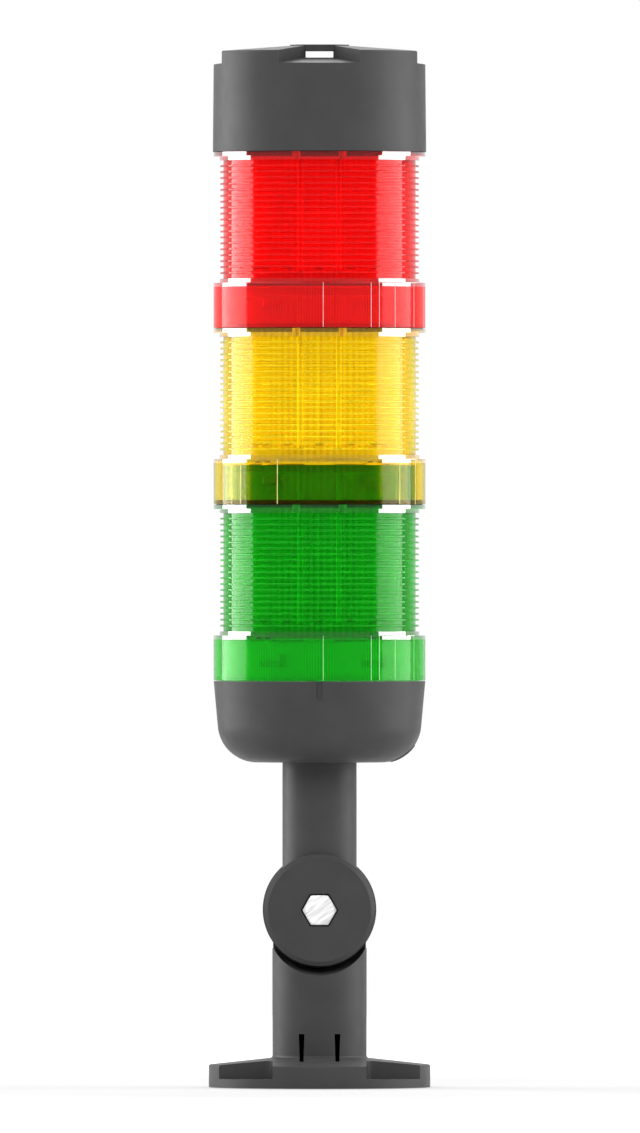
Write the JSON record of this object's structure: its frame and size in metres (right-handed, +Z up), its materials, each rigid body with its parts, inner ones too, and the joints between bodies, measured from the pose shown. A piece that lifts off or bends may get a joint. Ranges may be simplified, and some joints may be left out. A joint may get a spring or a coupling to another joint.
{
  "type": "stack light",
  "caption": "Signal tower with red, yellow and green ribbed lens modules under a dark cap, on a folding arm and a screw-down foot.",
  "frame": {"origin": "middle of the foot's underside", "axes": "+Z up the tower from the foot to the cap; -Y is the front, where the joint bolt head and the index mark are; +X is the side of the blanking plug"},
  "size_m": [0.0731, 0.073, 0.3438],
  "materials": {
    "charcoal_plastic": "fine satin, moulded",
    "black_rubber": "matt",
    "bright_steel": "zinc plated",
    "grey_plastic": "moulded insulation",
    "contact_brass": "bright",
    "board_white": "white solder resist",
    "green_lens": "clear, moulded, ribbed",
    "yellow_lens": "clear, moulded, ribbed",
    "red_lens": "clear, moulded, ribbed",
    "green_led": "moulded package",
    "yellow_led": "moulded package",
    "red_led": "moulded package"
  },
  "bodies": {
    "foot": {"foot": "charcoal_plastic", "hinge_nut": "bright_steel", "joint_seal": "black_rubber"},
    "arm": {"arm": "charcoal_plastic", "hinge_bolt": "bright_steel", "base_housing": "charcoal_plastic", "side_plug": "charcoal_plastic", "tube_screws": "bright_steel", "base_carrier": "grey_plastic", "base_tracks": "contact_brass", "terminal_block": "grey_plastic", "terminal_screws": "bright_steel"},
    "green_module": {"green_contact_base": "grey_plastic", "green_contact_head": "grey_plastic", "green_contact_pins": "contact_brass", "green_contact_rods": "contact_brass", "green_contact_tracks": "contact_brass", "green_led_board": "board_white", "green_leds": "green_led", "green_lens": "green_lens", "green_seal_ring": "black_rubber"},
    "yellow_module": {"yellow_contact_base": "grey_plastic", "yellow_contact_head": "grey_plastic", "yellow_contact_pins": "contact_brass", "yellow_contact_rods": "contact_brass", "yellow_contact_tracks": "contact_brass", "yellow_led_board": "board_white", "yellow_leds": "yellow_led", "yellow_lens": "yellow_lens", "yellow_seal_ring": "black_rubber"},
    "red_module": {"red_contact_base": "grey_plastic", "red_contact_head": "grey_plastic", "red_contact_pins": "contact_brass", "red_contact_rods": "contact_brass", "red_contact_tracks": "contact_brass", "red_led_board": "board_white", "red_leds": "red_led", "red_lens": "red_lens", "red_seal_ring": "black_rubber"},
    "cap": {"cap": "charcoal_plastic"}
  },
  "joints": [
    {"name": "fold", "type": "hinge", "parent": "foot", "child": "arm", "pos_m": [0, 0, 0.0585], "axis": [0, 1, 0], "range_deg": [-90, 90]},
    {"name": "green_twist", "type": "hinge", "parent": "arm", "child": "green_module", "pos_m": [0, 0, 0.1339], "axis": [0, 0, 1], "range_deg": [0, 20]},
    {"name": "yellow_twist", "type": "hinge", "parent": "green_module", "child": "yellow_module", "pos_m": [0, 0, 0.19205], "axis": [0, 0, 1], "range_deg": [0, 20]},
    {"name": "red_twist", "type": "hinge", "parent": "yellow_module", "child": "red_module", "pos_m": [0, 0, 0.2502], "axis": [0, 0, 1], "range_deg": [0, 20]},
    {"name": "cap_twist", "type": "hinge", "parent": "red_module", "child": "cap", "pos_m": [0, 0, 0.30835], "axis": [0, 0, 1], "range_deg": [0, 20]}
  ]
}
